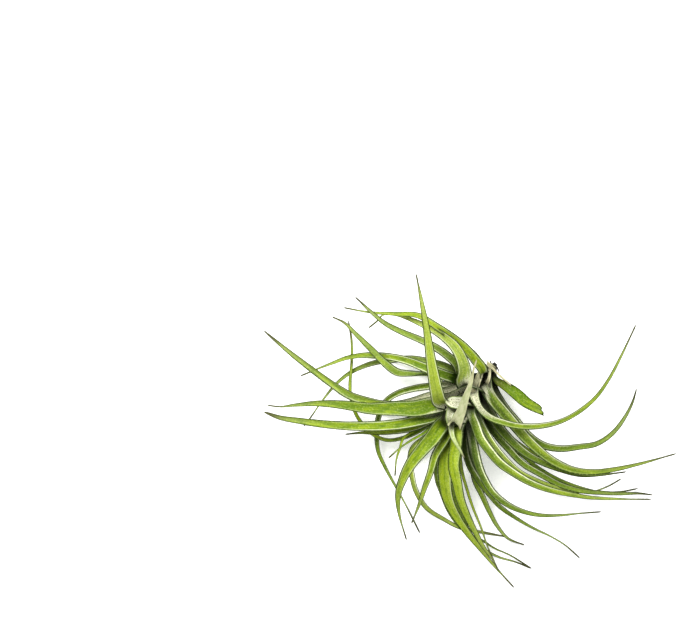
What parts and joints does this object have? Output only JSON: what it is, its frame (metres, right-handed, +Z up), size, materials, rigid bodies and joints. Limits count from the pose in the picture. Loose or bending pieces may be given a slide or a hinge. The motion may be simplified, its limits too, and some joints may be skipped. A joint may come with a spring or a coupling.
{
  "type": "air plant",
  "caption": "Green air plant: a rosette of narrow recurved leaves on a short leaning stem, lying as picked.",
  "frame": {"origin": "on the surface that the plant lies on, below the middle of its outline seen from above", "axes": "+Z up; +X and +Y level, with the longest spread of leaves along X and the tall leaf leaning to +Y"},
  "size_m": [0.2503, 0.192, 0.0966],
  "materials": {
    "green_leaf": "fresh green leaf, satin, with fine silvery scales and a pale margin",
    "deep_green_leaf": "darker green leaf, satin, with fine silvery scales",
    "pale_leaf": "pale green-white sheath or young leaf, matt with fine scales",
    "dry_leaf": "dry papery leaf, matt beige with fine long veins",
    "husk": "papery remains of old leaf bases, matt grey-beige to brown",
    "stem": "short woody stem, matt, scarred by old leaves",
    "root": "dried wiry roots, matt and nearly black"
  },
  "bodies": {
    "root": {"leaf_01": "green_leaf", "leaf_02": "green_leaf", "leaf_03": "green_leaf", "leaf_04": "deep_green_leaf", "leaf_05": "green_leaf", "leaf_06": "green_leaf", "leaf_07": "deep_green_leaf", "leaf_08": "deep_green_leaf", "leaf_09": "deep_green_leaf", "leaf_10": "green_leaf", "leaf_11": "green_leaf", "leaf_12": "deep_green_leaf", "leaf_13": "green_leaf", "leaf_14": "green_leaf", "leaf_15": "deep_green_leaf", "leaf_16": "deep_green_leaf", "leaf_17": "green_leaf", "leaf_18": "green_leaf", "leaf_19": "green_leaf", "leaf_20": "green_leaf", "leaf_21": "green_leaf", "leaf_22": "green_leaf", "leaf_23": "green_leaf", "leaf_24": "deep_green_leaf", "leaf_25": "green_leaf", "leaf_26": "green_leaf", "leaf_27": "deep_green_leaf", "leaf_28": "deep_green_leaf", "leaf_29": "green_leaf", "leaf_30": "green_leaf", "leaf_31": "green_leaf", "leaf_32": "green_leaf", "leaf_33": "green_leaf", "leaf_34": "green_leaf", "leaf_35": "green_leaf", "leaf_36": "deep_green_leaf", "leaf_37": "green_leaf", "leaf_38": "green_leaf", "leaf_39": "green_leaf", "leaf_40": "deep_green_leaf", "leaf_41": "green_leaf", "leaf_42": "green_leaf", "leaf_43": "green_leaf", "leaf_44": "green_leaf", "leaf_curled": "pale_leaf", "leaf_dry": "dry_leaf", "leaf_torn": "green_leaf", "roots": "root", "sheath_crown": "pale_leaf", "sheath_flap": "pale_leaf", "sheath_old_1": "husk", "sheath_old_2": "husk", "sheath_old_3": "husk", "sheath_old_4": "husk", "stem": "stem"}
  },
  "joints": []
}
